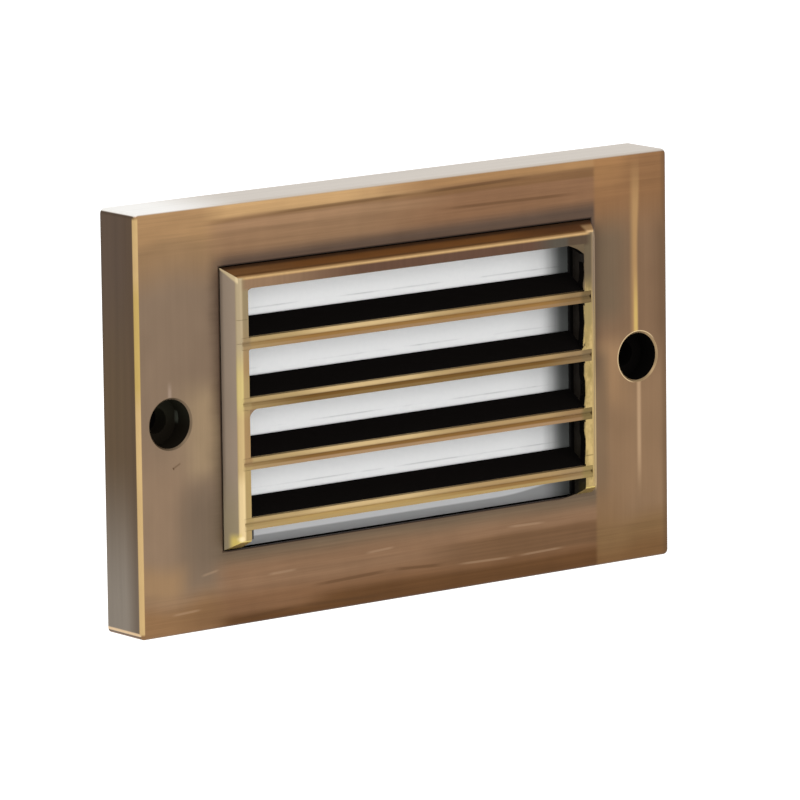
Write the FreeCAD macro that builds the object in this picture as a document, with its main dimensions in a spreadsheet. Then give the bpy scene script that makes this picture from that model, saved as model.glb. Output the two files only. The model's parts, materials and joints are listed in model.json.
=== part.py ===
"""Louvred step light, recessed in a wall: a parametric model in millimetres.

Frame: X to the right seen from the front, Z up, Y into the wall. The wall's surface is
the plane Y = 0, and the origin lies in it, midway between the two fixing screws.
"""
import FreeCAD, Part

import math
import os

import Sketcher

Vector = FreeCAD.Vector
doc = FreeCAD.newDocument("StepLight")


# ---------------------------------------------------------------- driving dimensions

SIZES = {
    # face plate: a cast pan, open to the wall
    "plate_width": 120.65,
    "plate_height": 76.2,
    "plate_depth": 10.2,
    "plate_skin": 1.8,
    "plate_rim": 2.2,
    "plate_corner": 1.0,
    "plate_edge": 0.7,
    # the two fixing screw holes
    "screw_end": 7.125,
    "screw_hole": 2.3,
    "counterbore_radius": 4.4,
    "counterbore_depth": 4.6,
    "counterbore_bevel": 0.3,
    "boss_radius": 6.0,
    "boss_clearance": 2.1,
    # louver frame
    "frame_bar": 3.85,
    "frame_head": 3.75,
    "foot_clearance": 3.85,
    "frame_proud": 3.15,
    "frame_side_draft": 1.6,
    "frame_end_draft": 1.6,
    "frame_edge": 0.8,
    "frame_gap": 0.2,
    "frame_flange_reach": 3.1,
    "frame_flange_thickness": 1.5,
    # louver blades
    "blade_head_room": 8.8,
    "blade_foot_room": 5.71,
    "blade_edge": 2.1,
    "blade_angle": 34.0,
    "blade_lens_gap": 0.4,
    "blade_groove_depth": 0.25,
    "blade_groove_width": 0.9,
    "tenon_reach": 1.5,
    "tenon_depth": 2.6,
    "braze_gap": 0.04,
    # lens and its clamp
    "lens_overlap": 2.8,
    "lens_corner": 2.0,
    "lens_gap": 0.25,
    "gasket_thickness": 0.8,
    "gasket_width": 3.0,
    "retainer_thickness": 1.0,
    "retainer_lap": 3.05,
    "retainer_gap": 0.9,
    "retainer_screw_side": 4.0,
    "retainer_screw_top": 2.0,
    "retainer_clearance": 0.1,
    "retainer_post": 2.3,
    "post_clearance": 0.9,
    "retainer_shank": 1.25,
    "retainer_shank_length": 4.0,
    "retainer_head": 1.9,
    "retainer_head_height": 1.1,
    "thread_gap": 0.05,
    # housing
    "flange_gap": 0.525,
    "flange_lip": 2.5,
    "flange_thickness": 1.6,
    "flange_corner": 3.0,
    "wall_gasket_thickness": 0.8,
    "wall_gasket_margin": 0.6,
    "box_width": 79.0,
    "box_height": 53.0,
    "box_depth": 25.0,
    "box_wall": 2.0,
    "box_corner": 4.0,
    "box_draft": 2.0,
    "seal_width": 1.3,
    "seal_groove": 0.5,
    "seal_inset": 0.5,
    # light engine
    "engine_post": 3.0,
    "tray_wall": 1.0,
    "tray_gap": 1.3,
    "tray_draft": 10.0,
    "window_gap": 0.3,
    "led_board_gap": 4.0,
    "led_board_thickness": 1.6,
    "spreader_thickness": 2.0,
    "spreader_margin": 0.4,
    "spreader_gap": 0.5,
    "board_shank": 1.4,
    "board_shank_length": 8.0,
    "board_head": 2.3,
    "board_head_height": 1.6,
    "board_head_gap": 0.8,
    "board_hole_gap": 0.25,
    "emitter_width": 3.5,
    "emitter_height": 2.8,
    "emitter_thickness": 0.8,
    "emitter_pitch_across": 11.0,
    "emitter_pitch_up": 12.0,
    # driver
    "driver_left": -7.0,
    "driver_width": 35.0,
    "driver_clearance": 0.4,
    "driver_thickness": 1.6,
    "driver_lift": 4.4,
    "driver_headroom": 1.6,
    "driver_post": 2.2,
    "driver_hole_inset": 3.6,
    "driver_shank": 1.0,
    "driver_shank_length": 5.0,
    "driver_head": 1.7,
    "driver_head_height": 1.2,
    "choke_half": 4.6,
    "choke_height": 5.0,
    "choke_core": 4.0,
    "choke_cheek": 0.9,
    "capacitor_radius": 4.0,
    "capacitor_height": 6.8,
    "capacitor_bevel": 0.5,
    "rectifier_width": 8.0,
    "rectifier_height": 6.4,
    "rectifier_thickness": 2.5,
    "chip_width": 5.0,
    "chip_height": 4.0,
    "chip_thickness": 1.6,
    "terminal_width": 8.0,
    "terminal_height": 10.4,
    "terminal_thickness": 6.8,
    "terminal_mouth": 1.5,
    "terminal_well": 1.6,
    "terminal_screw": 1.4,
    # cable gland
    "gland_across": -21.0,
    "gland_thread": 6.0,
    "gland_hole_gap": 0.1,
    "gland_bore": 4.4,
    "gland_inside": 5.5,
    "gland_flats": 16.0,
    "gland_hex_height": 3.5,
    "gland_neck": 5.0,
    "gland_neck_length": 6.0,
    "washer_thickness": 1.0,
    "washer_width": 1.8,
    "locknut_flats": 17.0,
    "locknut_height": 3.5,
    "cable_hole": 3.25,
    "seal_length": 7.0,
    "dome_flats": 16.0,
    "dome_length": 9.6,
    "dome_hole": 3.7,
    "dome_gap": 0.1,
}

sheet = doc.addObject("Spreadsheet::Sheet", "Sizes")
for row, (alias, size) in enumerate(SIZES.items(), start=1):
    sheet.set(f"A{row}", alias)
    sheet.set(f"B{row}", str(size))
    sheet.setAlias(f"B{row}", alias)
doc.recompute()


def bound(text):
    """The text of an expression with each size's name tied to its cell."""
    words = sorted(SIZES, key=len, reverse=True)
    for number, word in enumerate(words):
        text = text.replace(word, f"<{number}>")
    for number, word in enumerate(words):
        text = text.replace(f"<{number}>", f"Sizes.{word}")
    return text


def value(text):
    """The present value of an expression, as a plain number."""
    result = sheet.evalExpression(bound(text))
    return float(getattr(result, "Value", result))


# ---------------------------------------------------------------- levels shared by pieces
# Distances in front of the wall's surface (front is -Y), and behind it.

FRONT = "(plate_depth + frame_proud)"
SKIN_BACK = "(plate_depth - plate_skin)"
FLANGE_FRONT = "(wall_gasket_thickness + flange_thickness)"
RETAINER_BACK = f"({FLANGE_FRONT} + retainer_clearance + retainer_head_height)"
GASKET_BACK = f"({RETAINER_BACK} + retainer_thickness)"
LENS_BACK = f"({GASKET_BACK} + gasket_thickness)"
FLOOR = "(box_depth - box_wall)"
DRIVER_BACK = f"({FLOOR} - driver_lift)"
DRIVER_FRONT = f"({DRIVER_BACK} - driver_thickness)"
SPREADER_BACK = f"({DRIVER_FRONT} - terminal_thickness - driver_headroom)"
BOARD_BACK = f"({SPREADER_BACK} - spreader_thickness)"
BOARD_FRONT = f"({BOARD_BACK} - led_board_thickness)"
TRAY_SEAT = f"({BOARD_FRONT} - tray_wall)"

# ---------------------------------------------------------------- places shared by pieces
# Across, the window lies between the screw bosses. Up and down, it lies between the
# retainer's posts, which stand along the pan's rim.

SCREW_X = "(plate_width / 2 - screw_end)"
FRAME_HALF = f"({SCREW_X} - boss_radius - boss_clearance - frame_flange_reach)"
OPENING_HALF = f"({FRAME_HALF} - frame_bar)"
LENS_HALF = f"({OPENING_HALF} + lens_overlap)"
RETAINER_HALF = f"({LENS_HALF} + retainer_lap)"
RETAINER_TOP = "(plate_height / 2 - plate_rim - retainer_gap)"
RETAINER_X = f"({RETAINER_HALF} - retainer_screw_side)"
RETAINER_Z = f"({RETAINER_TOP} - retainer_screw_top)"
FRAME_TOP = f"({RETAINER_Z} - retainer_post - post_clearance - frame_flange_reach)"
OPENING_TOP = f"({FRAME_TOP} - frame_head)"
LENS_TOP = f"({OPENING_TOP} + lens_overlap)"
LENS_FOOT = f"({RETAINER_Z} - retainer_post - foot_clearance)"
FRAME_FOOT = f"({LENS_FOOT} - lens_overlap)"
BLADE_COUNT = 4
BLADE_FIRST = f"({OPENING_TOP} - blade_head_room)"
BLADE_LAST = f"(blade_foot_room - {FRAME_FOOT})"
BLADE_PITCH = f"(({BLADE_FIRST} - {BLADE_LAST}) / {BLADE_COUNT - 1})"
MOUTH_WIDTH = "(box_width - 2 * box_wall)"
MOUTH_HEIGHT = "(box_height - 2 * box_wall)"
FLANGE_WIDTH = "(plate_width - 2 * (plate_rim + flange_gap))"
FLANGE_HEIGHT = "(box_height + 2 * flange_lip)"
TRAY_WIDTH = f"({MOUTH_WIDTH} - 2 * tray_gap)"
TRAY_HEIGHT = f"({MOUTH_HEIGHT} - 2 * tray_gap)"
TRAY_INSET = f"(tray_wall + ({FLANGE_FRONT} + {TRAY_SEAT}) * tan(tray_draft * 1 deg))"
POST_X = f"({TRAY_WIDTH} / 2 - {TRAY_INSET} - board_head - board_head_gap)"
POST_Z = f"({TRAY_HEIGHT} / 2 - {TRAY_INSET} - board_head - board_head_gap)"
BOARD_WIDTH = f"({MOUTH_WIDTH} - 2 * led_board_gap)"
BOARD_HEIGHT = f"({MOUTH_HEIGHT} - 2 * led_board_gap)"
DRIVER_HALF = f"({POST_Z} - engine_post - driver_clearance)"


# ---------------------------------------------------------------- sketch and feature tools

def new_body(label):
    body = doc.addObject("PartDesign::Body", label)
    body.Label = label
    return body


def sketch_on(body, plane, distance="0"):
    """A sketch on one of the body's planes. distance is along the plane's own normal:
    -Y (out of the wall) for XZ_Plane, +X for YZ_Plane."""
    support = next(f for f in body.Origin.OriginFeatures if f.Role == plane)
    sketch = body.newObject("Sketcher::SketchObject", "Sketch")
    sketch.AttachmentSupport = (support, "")
    sketch.MapMode = "FlatFace"
    sketch.setExpression(".AttachmentOffset.Base.z", bound(distance))
    return sketch


def dimension(sketch, kind, *items):
    """Adds a dimension whose last item is an expression, and ties it to the sheet."""
    *places, text = items
    number = value(text)
    index = sketch.addConstraint(Sketcher.Constraint(kind, *places, abs(number)))
    sketch.setExpression(f"Constraints[{index}]", bound(text if number >= 0 else f"-({text})"))


def place_point(sketch, line, end, across, up):
    """Ties a point to its distances from the sketch's origin."""
    for kind, text in (("DistanceX", across), ("DistanceY", up)):
        number = value(text)
        if abs(number) < 1e-9:
            lock = "PointOnObject"
            axis = -2 if kind == "DistanceX" else -1
            sketch.addConstraint(Sketcher.Constraint(lock, line, end, axis))
        else:
            index = sketch.addConstraint(Sketcher.Constraint(kind, -1, 1, line, end, number))
            sketch.setExpression(f"Constraints[{index}]", bound(text))


def draw_circle(sketch, across, up, radius):
    centre = Vector(value(across), value(up), 0)
    circle = sketch.addGeometry(Part.Circle(centre, Vector(0, 0, 1), value(radius)), False)
    dimension(sketch, "Radius", circle, radius)
    place_point(sketch, circle, 3, across, up)


def draw_outline(sketch, points):
    """A closed outline of straight lines through points given as pairs of expressions."""
    corners = [Vector(value(across), value(up), 0) for across, up in points]
    ring = corners[1:] + corners[:1]
    lines = [sketch.addGeometry(Part.LineSegment(a, b), False) for a, b in zip(corners, ring)]
    for line, following in zip(lines, lines[1:] + lines[:1]):
        sketch.addConstraint(Sketcher.Constraint("Coincident", line, 2, following, 1))
    for line, (across, up) in zip(lines, points):
        place_point(sketch, line, 1, across, up)


def draw_box(sketch, left, right, foot, top):
    draw_outline(sketch, [(left, foot), (right, foot), (right, top), (left, top)])


def draw_rounded_box(sketch, left, right, foot, top, radius):
    """A rectangle with tangent arcs at its corners."""
    x0, x1, z0, z1, r = (value(text) for text in (left, right, foot, top, radius))
    lines = [
        Part.LineSegment(Vector(x0 + r, z0, 0), Vector(x1 - r, z0, 0)),
        Part.LineSegment(Vector(x1, z0 + r, 0), Vector(x1, z1 - r, 0)),
        Part.LineSegment(Vector(x1 - r, z1, 0), Vector(x0 + r, z1, 0)),
        Part.LineSegment(Vector(x0, z1 - r, 0), Vector(x0, z0 + r, 0)),
    ]
    centres = [(x1 - r, z0 + r, -90), (x1 - r, z1 - r, 0), (x0 + r, z1 - r, 90), (x0 + r, z0 + r, 180)]
    arcs = []
    for x, z, start in centres:
        circle = Part.Circle(Vector(x, z, 0), Vector(0, 0, 1), r)
        arcs.append(Part.ArcOfCircle(circle, math.radians(start), math.radians(start + 90)))
    line_ids = [sketch.addGeometry(line, False) for line in lines]
    arc_ids = [sketch.addGeometry(arc, False) for arc in arcs]
    for line, arc, following in zip(line_ids, arc_ids, line_ids[1:] + line_ids[:1]):
        sketch.addConstraint(Sketcher.Constraint("Tangent", line, 2, arc, 1))
        sketch.addConstraint(Sketcher.Constraint("Tangent", arc, 2, following, 1))
    for line, kind in zip(line_ids, ("Horizontal", "Vertical", "Horizontal", "Vertical")):
        sketch.addConstraint(Sketcher.Constraint(kind, line))
    for arc in arc_ids[1:]:
        sketch.addConstraint(Sketcher.Constraint("Equal", arc_ids[0], arc))
    dimension(sketch, "Radius", arc_ids[0], radius)
    for kind, line, text in (("DistanceY", line_ids[0], foot), ("DistanceX", line_ids[1], right),
                             ("DistanceY", line_ids[2], top), ("DistanceX", line_ids[3], left)):
        index = sketch.addConstraint(Sketcher.Constraint(kind, -1, 1, line, 1, value(text)))
        sketch.setExpression(f"Constraints[{index}]", bound(text))


def draw_hexagon(sketch, across, up, flats):
    """A regular hexagon with one flat at its foot, given by its width across flats."""
    half = f"({flats}) / 2"
    corner = f"({flats}) / sqrt(3)"
    steps = [("1", "0"), ("0.5", "1"), ("-0.5", "1"), ("-1", "0"), ("-0.5", "-1"), ("0.5", "-1")]
    draw_outline(sketch, [(f"({across}) + {along} * {corner}", f"({up}) + {rise} * {half}")
                          for along, rise in steps])


def extrude(body, sketch, kind, length, backwards=False, draft=None, both_ways=False):
    """A Pad or Pocket of the sketch. backwards goes against the feature's usual way."""
    feature = body.newObject(f"PartDesign::{kind}", kind)
    feature.Profile = sketch
    feature.setExpression("Length", bound(length))
    feature.Reversed = backwards
    if draft:
        feature.setExpression("TaperAngle", bound(draft))
    if both_ways:
        feature.SideType = "Symmetric"
    sketch.Visibility = False
    doc.recompute()
    return feature


def pad_forward(body, back, front, draw, draft=None):
    """Adds material from one level to another in front of the wall's surface."""
    sketch = sketch_on(body, "XZ_Plane", back)
    draw(sketch)
    return extrude(body, sketch, "Pad", f"({front}) - ({back})", draft=draft)


def pad_inward(body, front, back, draw, draft=None):
    """Adds material from one level to another behind the wall's surface."""
    sketch = sketch_on(body, "XZ_Plane", f"-({front})")
    draw(sketch)
    return extrude(body, sketch, "Pad", f"({back}) - ({front})", backwards=True, draft=draft)


def cut_inward(body, front, back, draw, draft=None):
    """Removes material from one level to another, both behind the wall's surface."""
    sketch = sketch_on(body, "XZ_Plane", f"-({front})")
    draw(sketch)
    before = body.Shape.Volume
    feature = extrude(body, sketch, "Pocket", f"({back}) - ({front})", draft=draft)
    if body.Shape.Volume > before - 1e-6:
        raise RuntimeError(f"{body.Label}: a cut removed nothing")
    return feature


def edge_feature(body, kind, size, base, edges):
    """A Fillet or Chamfer of the base feature's listed edges."""
    feature = body.newObject(f"PartDesign::{kind}", kind)
    feature.Base = (base, edges)
    feature.setExpression("Radius" if kind == "Fillet" else "Size", bound(size))
    doc.recompute()
    return feature


def face_at(feature, level):
    """The name of the largest flat face whose plane is Y = level."""
    best = None
    for number, face in enumerate(feature.Shape.Faces, start=1):
        box = face.BoundBox
        if abs(box.YMin - level) < 1e-4 and abs(box.YMax - level) < 1e-4:
            if best is None or face.Area > best[1]:
                best = (f"Face{number}", face.Area)
    return best[0]


# ---------------------------------------------------------------- the face

SCREW_PLACES = [(f"{side} * {SCREW_X}", "0") for side in (-1, 1)]
RETAINER_SCREWS = [(f"{x} * {RETAINER_X}", f"{z} * {RETAINER_Z}") for x in (-1, 1) for z in (-1, 1)]


def circles(places, radius):
    """A drawing function for one circle at each place."""
    def draw(sketch):
        for across, up in places:
            draw_circle(sketch, across, up, radius)
    return draw


def squares(places, half):
    """A drawing function for one square at each place, given by half its side."""
    def draw(sketch):
        for across, up in places:
            draw_box(sketch, f"{across} - {half}", f"{across} + {half}",
                     f"{up} - {half}", f"{up} + {half}")
    return draw


def hexagons(places, half):
    """A drawing function for one hexagon at each place, given by half its width across
    flats."""
    def draw(sketch):
        for across, up in places:
            draw_hexagon(sketch, across, up, f"2 * {half}")
    return draw


def centred_box(width, height, corner=None):
    """A drawing function for a rectangle about the origin, rounded where corner is given."""
    half, rise = f"({width}) / 2", f"({height}) / 2"

    def draw(sketch):
        if corner:
            draw_rounded_box(sketch, f"-{half}", half, f"-{rise}", rise, corner)
        else:
            draw_box(sketch, f"-{half}", half, f"-{rise}", rise)
    return draw


def make_face_plate():
    """Cast pan: a skin with a rim round it, screw bosses and posts behind, and the
    window that the louver frame stands in."""
    body = new_body("face_plate")
    block = pad_forward(body, "0", "plate_depth",
                        centred_box("plate_width", "plate_height", "plate_corner"))
    edge_feature(body, "Fillet", "plate_edge", block, [face_at(block, -value("plate_depth"))])
    cut_inward(body, f"-{SKIN_BACK}", "0",
               centred_box("plate_width - 2 * plate_rim", "plate_height - 2 * plate_rim"))
    pad_forward(body, FLANGE_FRONT, SKIN_BACK, circles(SCREW_PLACES, "boss_radius"))
    pad_forward(body, GASKET_BACK, SKIN_BACK, squares(RETAINER_SCREWS, "retainer_post"))
    cut_inward(body, "-plate_depth", f"-{FLANGE_FRONT}", circles(SCREW_PLACES, "screw_hole"))
    bore = cut_inward(body, "-plate_depth", "-(plate_depth - counterbore_depth)",
                      circles(SCREW_PLACES, "counterbore_radius"))
    mouths = [f"Edge{number}" for number, edge in enumerate(bore.Shape.Edges, start=1)
              if isinstance(edge.Curve, Part.Circle)
              and abs(edge.Curve.Radius - value("counterbore_radius")) < 1e-6
              and abs(edge.Curve.Center.y + value("plate_depth")) < 1e-6]
    edge_feature(body, "Chamfer", "counterbore_bevel", bore, mouths)
    cut_inward(body, f"-{GASKET_BACK} - (retainer_shank_length - retainer_thickness)",
               f"-{GASKET_BACK}", circles(RETAINER_SCREWS, "retainer_shank + thread_gap"))

    def window(sketch):
        draw_box(sketch, f"-({FRAME_HALF} + frame_gap)", f"{FRAME_HALF} + frame_gap",
                 f"-({FRAME_FOOT} + frame_gap)", f"{FRAME_TOP} + frame_gap")
    cut_inward(body, "-plate_depth", f"-{SKIN_BACK}", window)
    return body


def blade_outline(depth, grow="0"):
    """A blade's section, as (Y, Z) pairs, from its front top corner: an upright front
    edge and two faces that rise towards the lens. grow widens it for its notch."""
    rise = f"(({depth}) * tan(blade_angle * 1 deg))"
    return [
        (f"-{FRONT}", f"{grow}"),
        (f"-{FRONT}", f"-(blade_edge + {grow})"),
        (f"-{FRONT} + ({depth})", f"{rise} - (blade_edge + {grow})"),
        (f"-{FRONT} + ({depth})", f"{rise} + {grow}"),
    ]


BLADE_DEPTH = f"({FRONT} - {SKIN_BACK} - blade_lens_gap)"


def blade_top(number):
    """Height of the front top edge of a blade, counted from the top."""
    return f"({BLADE_FIRST} - {number} * {BLADE_PITCH})"


def make_louver_frame():
    """Three-sided raised frame. Its sides lean in towards the front, it is open at its
    foot, a flange behind the plate's skin keeps it in, and its bars are notched for the
    ends of the blades."""
    body = new_body("louver_frame")

    def base(sketch):
        draw_box(sketch, f"-{FRAME_HALF}", FRAME_HALF, f"-{FRAME_FOOT}", FRAME_TOP)

    def front(sketch):
        draw_box(sketch, f"-({FRAME_HALF} - frame_side_draft)", f"{FRAME_HALF} - frame_side_draft",
                 f"-({FRAME_FOOT} - frame_end_draft)", f"{FRAME_TOP} - frame_end_draft")
    low = sketch_on(body, "XZ_Plane", "plate_depth")
    base(low)
    high = sketch_on(body, "XZ_Plane", FRONT)
    front(high)
    loft = body.newObject("PartDesign::AdditiveLoft", "Draft")
    loft.Profile = low
    loft.Sections = [high]
    loft.Ruled = True
    doc.recompute()
    edge_feature(body, "Fillet", "frame_edge", loft, [face_at(loft, -value(FRONT))])
    pad_forward(body, SKIN_BACK, "plate_depth", base)

    def flange(sketch):
        reach = f"({FRAME_HALF} + frame_flange_reach)"
        draw_box(sketch, f"-{reach}", reach, f"-{LENS_FOOT}", f"{FRAME_TOP} + frame_flange_reach")
    pad_forward(body, f"({SKIN_BACK} - frame_flange_thickness)", SKIN_BACK, flange)

    def opening(sketch):
        draw_box(sketch, f"-{OPENING_HALF}", OPENING_HALF, f"-({LENS_FOOT} + 1)", OPENING_TOP)
    cut_inward(body, f"-{FRONT}", f"-({SKIN_BACK} - frame_flange_thickness)", opening)

    def rabbet(sketch):
        draw_box(sketch, f"-({LENS_HALF} + lens_gap)", f"{LENS_HALF} + lens_gap",
                 f"-({LENS_FOOT} + 1)", f"{LENS_TOP} + lens_gap")
    cut_inward(body, f"-{SKIN_BACK}", f"-({SKIN_BACK} - frame_flange_thickness)", rabbet)
    for number in range(BLADE_COUNT):
        sketch = sketch_on(body, "YZ_Plane")
        outline = blade_outline("tenon_depth + braze_gap", "braze_gap")
        draw_outline(sketch, [(across, f"{blade_top(number)} + ({up})") for across, up in outline])
        extrude(body, sketch, "Pocket", f"2 * ({OPENING_HALF} + tenon_reach + braze_gap)",
                both_ways=True)
    return body


def make_louver_blade(number):
    """One slanted blade, with a shallow groove along its front edge and a short tenon at
    each end."""
    body = new_body(f"louver_blade_{number + 1}")
    body.setExpression(".Placement.Base.z", bound(blade_top(number)))
    outline = blade_outline(BLADE_DEPTH)
    middle = "(blade_edge / 2)"
    half_groove = "(blade_groove_width / 2)"
    groove = [
        (f"-{FRONT}", f"-({middle} - {half_groove})"),
        (f"-{FRONT} + blade_groove_depth", f"-{middle}"),
        (f"-{FRONT}", f"-({middle} + {half_groove})"),
    ]
    sketch = sketch_on(body, "YZ_Plane")
    draw_outline(sketch, outline[:1] + groove + outline[1:])
    extrude(body, sketch, "Pad", f"2 * ({OPENING_HALF} - braze_gap)", both_ways=True)
    tenon = blade_outline("tenon_depth")
    sketch = sketch_on(body, "YZ_Plane")
    draw_outline(sketch, tenon[:1] + groove + tenon[1:])
    extrude(body, sketch, "Pad", f"2 * ({OPENING_HALF} + tenon_reach)", both_ways=True)
    return body


def lens_outline(sketch):
    draw_rounded_box(sketch, f"-{LENS_HALF}", LENS_HALF, f"-{LENS_FOOT}", LENS_TOP, "lens_corner")


def clear_window(sketch):
    """The inner edge shared by the lens gasket and the retainer."""
    draw_box(sketch, f"-({LENS_HALF} - gasket_width)", f"{LENS_HALF} - gasket_width",
             f"-({LENS_FOOT} - gasket_width)", f"{LENS_TOP} - gasket_width")


def make_lens():
    """Frosted pane against the back of the frame and the plate's skin. It fills the depth
    that its gasket and retainer leave."""
    body = new_body("lens")
    pad_forward(body, LENS_BACK, SKIN_BACK, lens_outline)
    return body


def make_lens_gasket():
    """Flat ring that the retainer presses on the back of the lens."""
    body = new_body("lens_gasket")

    def ring(sketch):
        lens_outline(sketch)
        clear_window(sketch)
    pad_forward(body, GASKET_BACK, LENS_BACK, ring)
    return body


def make_lens_retainer():
    """Sheet frame screwed to the plate's four posts."""
    body = new_body("lens_retainer")

    def ring(sketch):
        draw_box(sketch, f"-{RETAINER_HALF}", RETAINER_HALF, f"-{RETAINER_TOP}", RETAINER_TOP)
        clear_window(sketch)
        circles(RETAINER_SCREWS, "retainer_shank + thread_gap")(sketch)
    pad_forward(body, RETAINER_BACK, GASKET_BACK, ring)
    return body


def cut_slots(body, places, head, slot_front, slot_back):
    """A driver slot across each screw head."""
    def slots(sketch):
        for across, up in places:
            draw_box(sketch, f"({across}) - 1.2 * {head}", f"({across}) + 1.2 * {head}",
                     f"({up}) - 0.15 * {head}", f"({up}) + 0.15 * {head}")
    cut_inward(body, slot_front, slot_back, slots)


def make_screws(label, places, head_front, head, head_height, shank, shank_length, forward):
    """Slotted hexagon-head screws, one at each place. forward is True where the heads are
    at the back and the shanks point out of the wall. head is half the width across flats."""
    body = new_body(label)
    if forward:
        pad_forward(body, f"({head_front}) - ({head_height})", head_front, hexagons(places, head))
        pad_forward(body, head_front, f"({head_front}) + ({shank_length})", circles(places, shank))
        slot_front = f"-({head_front}) + 0.45 * ({head_height})"
        slot_back = f"-({head_front}) + ({head_height})"
    else:
        pad_inward(body, f"({head_front}) - ({head_height})", head_front, hexagons(places, head))
        pad_inward(body, head_front, f"({head_front}) + ({shank_length})", circles(places, shank))
        slot_front = f"({head_front}) - ({head_height})"
        slot_back = f"({head_front}) - 0.45 * ({head_height})"
    cut_slots(body, places, head, slot_front, slot_back)
    return body


# ---------------------------------------------------------------- the housing

ENGINE_POSTS = [(f"{side} * {POST_X}", f"{side} * {POST_Z}") for side in (-1, 1)]
DRIVER_POSTS = [("driver_left + driver_hole_inset", f"-({DRIVER_HALF} - driver_hole_inset)"),
                ("driver_left + driver_width - driver_hole_inset",
                 f"{DRIVER_HALF} - driver_hole_inset")]
GLAND_PLACE = [("gland_across", "0")]


def seal_ring(sketch):
    """The ring that the housing seal fills, round the box's mouth."""
    for grow in ("(seal_inset + seal_width)", "seal_inset"):
        centred_box(f"{MOUTH_WIDTH} + 2 * ({grow} + box_wall)",
                    f"{MOUTH_HEIGHT} + 2 * {grow}")(sketch)


def make_rear_housing():
    """Moulded recess box: a flange against the wall, a drafted box behind it, posts for
    the light engine and the driver, and the cable entry in its floor."""
    body = new_body("rear_housing")
    pad_inward(body, f"-{FLANGE_FRONT}", "-wall_gasket_thickness",
               centred_box(FLANGE_WIDTH, FLANGE_HEIGHT, "flange_corner"))
    pad_inward(body, "-wall_gasket_thickness", "box_depth",
               centred_box("box_width", "box_height", "box_corner"), draft="-box_draft")
    cut_inward(body, f"-{FLANGE_FRONT}", FLOOR, centred_box(MOUTH_WIDTH, MOUTH_HEIGHT),
               draft="-box_draft")
    pad_inward(body, BOARD_BACK, f"({FLOOR} + box_wall / 2)", squares(ENGINE_POSTS, "engine_post"))
    pad_inward(body, DRIVER_BACK, f"({FLOOR} + box_wall / 2)", squares(DRIVER_POSTS, "driver_post"))
    cut_inward(body, BOARD_BACK, f"({TRAY_SEAT} + board_shank_length + tray_wall)",
               circles(ENGINE_POSTS, "board_shank + thread_gap"))
    cut_inward(body, DRIVER_BACK, f"({DRIVER_FRONT} + driver_shank_length)",
               circles(DRIVER_POSTS, "driver_shank + thread_gap"))
    cut_inward(body, FLOOR, "box_depth", circles(GLAND_PLACE, "gland_thread + gland_hole_gap"))
    cut_inward(body, f"-{FLANGE_FRONT}", "-wall_gasket_thickness",
               circles(SCREW_PLACES, "screw_hole"))
    cut_inward(body, f"-{FLANGE_FRONT}", f"-({FLANGE_FRONT} - seal_groove)", seal_ring)
    return body


def make_housing_seal():
    """Soft ring in the flange's groove, pressed by the back of the lens retainer."""
    body = new_body("housing_seal")
    pad_forward(body, f"({FLANGE_FRONT} - seal_groove)", RETAINER_BACK, seal_ring)
    return body


def make_wall_gasket():
    """Foam frame between the flange and the wall."""
    body = new_body("wall_gasket")

    def ring(sketch):
        centred_box(f"{FLANGE_WIDTH} - 2 * wall_gasket_margin",
                    f"{FLANGE_HEIGHT} - 2 * wall_gasket_margin",
                    "flange_corner - wall_gasket_margin")(sketch)
        centred_box("box_width + 2 * wall_gasket_margin",
                    "box_height + 2 * wall_gasket_margin")(sketch)
        circles(SCREW_PLACES, "screw_hole")(sketch)
    pad_forward(body, "0", "wall_gasket_thickness", ring)
    return body


# ---------------------------------------------------------------- the light engine

EMITTER_PLACES = [(f"{column} * emitter_pitch_across", f"{line} * emitter_pitch_up")
                  for line in (-0.5, 0.5) for column in (-1.5, -0.5, 0.5, 1.5)]


def emitter_boxes(margin):
    """A drawing function for the emitters' outlines, widened by a margin."""
    def draw(sketch):
        for across, up in EMITTER_PLACES:
            draw_box(sketch, f"{across} - emitter_width / 2 - {margin}",
                     f"{across} + emitter_width / 2 + {margin}",
                     f"{up} - emitter_height / 2 - {margin}",
                     f"{up} + emitter_height / 2 + {margin}")
    return draw


def make_reflector_tray():
    """White drafted tray that mixes the light behind the lens. The emitters look through
    windows in its bottom, which the two board screws clamp."""
    body = new_body("reflector_tray")
    pad_inward(body, f"-{FLANGE_FRONT}", BOARD_FRONT, centred_box(TRAY_WIDTH, TRAY_HEIGHT),
               draft="-tray_draft")
    cut_inward(body, f"-{FLANGE_FRONT}", TRAY_SEAT,
               centred_box(f"{TRAY_WIDTH} - 2 * tray_wall", f"{TRAY_HEIGHT} - 2 * tray_wall"),
               draft="-tray_draft")

    def windows(sketch):
        emitter_boxes("window_gap")(sketch)
        squares(ENGINE_POSTS, "(board_shank + board_hole_gap)")(sketch)
    cut_inward(body, TRAY_SEAT, BOARD_FRONT, windows)
    return body


def make_led_board():
    """Metal-cored board under the tray."""
    body = new_body("led_board")

    def board(sketch):
        centred_box(BOARD_WIDTH, BOARD_HEIGHT)(sketch)
        circles(ENGINE_POSTS, "board_shank + board_hole_gap")(sketch)
    pad_inward(body, BOARD_FRONT, BOARD_BACK, board)
    return body


def make_led_emitters():
    """Eight surface-mounted emitters on the board's front."""
    body = new_body("led_emitters")
    pad_inward(body, f"{BOARD_FRONT} - emitter_thickness", BOARD_FRONT, emitter_boxes("0"))
    return body


def make_heat_spreader():
    """Aluminium plate bonded to the LED board's back, between the two posts."""
    body = new_body("heat_spreader")
    pad_inward(body, BOARD_BACK, SPREADER_BACK,
               centred_box(f"{BOARD_WIDTH} + 2 * spreader_margin",
                           f"2 * ({POST_Z} - engine_post - spreader_gap)"))
    return body


# ---------------------------------------------------------------- the driver

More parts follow.
